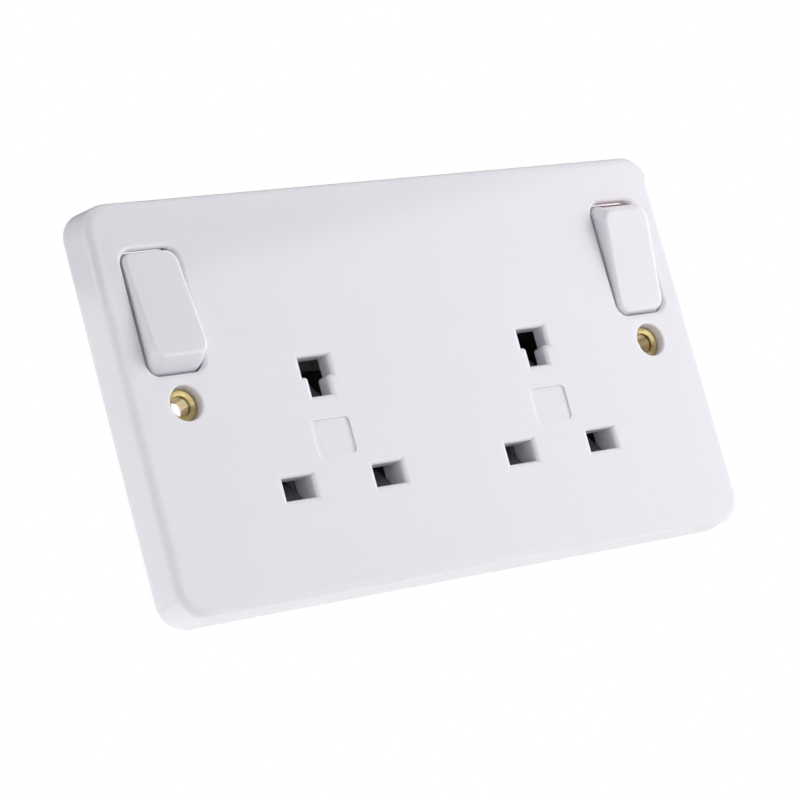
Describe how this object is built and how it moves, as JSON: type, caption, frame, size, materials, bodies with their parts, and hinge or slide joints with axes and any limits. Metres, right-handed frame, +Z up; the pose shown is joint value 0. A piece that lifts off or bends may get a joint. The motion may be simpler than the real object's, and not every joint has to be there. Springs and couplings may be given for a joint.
{
  "type": "twin wall socket",
  "caption": "Flush white wall socket with paired plug outlets behind sprung shutters, outboard rocker switches and screw holes for a wall box.",
  "frame": {"origin": "middle of the plate's back rim, in the plane of the wall, halfway between the fixing holes", "axes": "+X to the right as seen from the front, +Y into the wall, +Z up"},
  "size_m": [0.147, 0.0308, 0.086],
  "materials": {
    "white_plastic": "satin moulded",
    "grey_plastic": "matt moulded",
    "black_plastic": "matt moulded",
    "nylon": "smooth",
    "brass": "pressed",
    "spring_steel": "drawn wire",
    "plated_steel": "zinc plated"
  },
  "bodies": {
    "socket": {"front_plate": "white_plastic", "rear_moulding": "grey_plastic", "left_shutter_spring": "spring_steel", "right_shutter_spring": "spring_steel", "live_bar": "brass", "neutral_strap": "brass", "earth_strap": "brass", "live_terminal": "brass", "earth_terminal": "brass", "clean_earth_terminal": "brass", "neutral_terminal": "brass", "left_fixed_contact": "brass", "left_live_strap": "brass", "left_eyelet": "brass", "left_earth_link": "brass", "left_live_clip": "brass", "left_neutral_clip": "brass", "left_earth_clip": "brass", "right_fixed_contact": "brass", "right_live_strap": "brass", "right_eyelet": "brass", "right_earth_link": "brass", "right_live_clip": "brass", "right_neutral_clip": "brass", "right_earth_clip": "brass", "terminal_screws": "plated_steel", "assembly_screws": "plated_steel"},
    "left_switch": {"left_rocker": "white_plastic", "left_plunger": "nylon", "left_plunger_spring": "spring_steel"},
    "left_see_saw": {"left_rocking_contact": "brass"},
    "left_guard": {"left_shutter": "black_plastic"},
    "right_switch": {"right_rocker": "white_plastic", "right_plunger": "nylon", "right_plunger_spring": "spring_steel"},
    "right_see_saw": {"right_rocking_contact": "brass"},
    "right_guard": {"right_shutter": "black_plastic"}
  },
  "joints": [
    {"name": "left_switch_hinge", "type": "hinge", "parent": "socket", "child": "left_switch", "pos_m": [-0.0603, -0.0036, 0.0191], "axis": [1, 0, 0], "range_deg": [0, 17.6]},
    {"name": "left_see_saw_hinge", "type": "hinge", "parent": "socket", "child": "left_see_saw", "pos_m": [-0.0567, 0.0093, 0.0191], "axis": [1, 0, 0], "range_deg": [-15.84, 0]},
    {"name": "left_guard_slide", "type": "slide", "parent": "socket", "child": "left_guard", "axis": [0, 0, 1], "range_m": [-0.0052, 0], "stiffness_N_per_m": 60, "springref_m": 0.004, "deforming": ["left_shutter_spring"]},
    {"name": "right_switch_hinge", "type": "hinge", "parent": "socket", "child": "right_switch", "pos_m": [0.0603, -0.0036, 0.0191], "axis": [1, 0, 0], "range_deg": [-17.6, 0]},
    {"name": "right_see_saw_hinge", "type": "hinge", "parent": "socket", "child": "right_see_saw", "pos_m": [0.0567, 0.0093, 0.0191], "axis": [1, 0, 0], "range_deg": [0, 15.84]},
    {"name": "right_guard_slide", "type": "slide", "parent": "socket", "child": "right_guard", "axis": [0, 0, 1], "range_m": [-0.0052, 0], "stiffness_N_per_m": 60, "springref_m": 0.004, "deforming": ["right_shutter_spring"]}
  ],
  "couplings": [
    {"joint": "left_see_saw_hinge", "follows": "left_switch_hinge", "ratio": -0.9},
    {"joint": "right_see_saw_hinge", "follows": "right_switch_hinge", "ratio": -0.9}
  ]
}
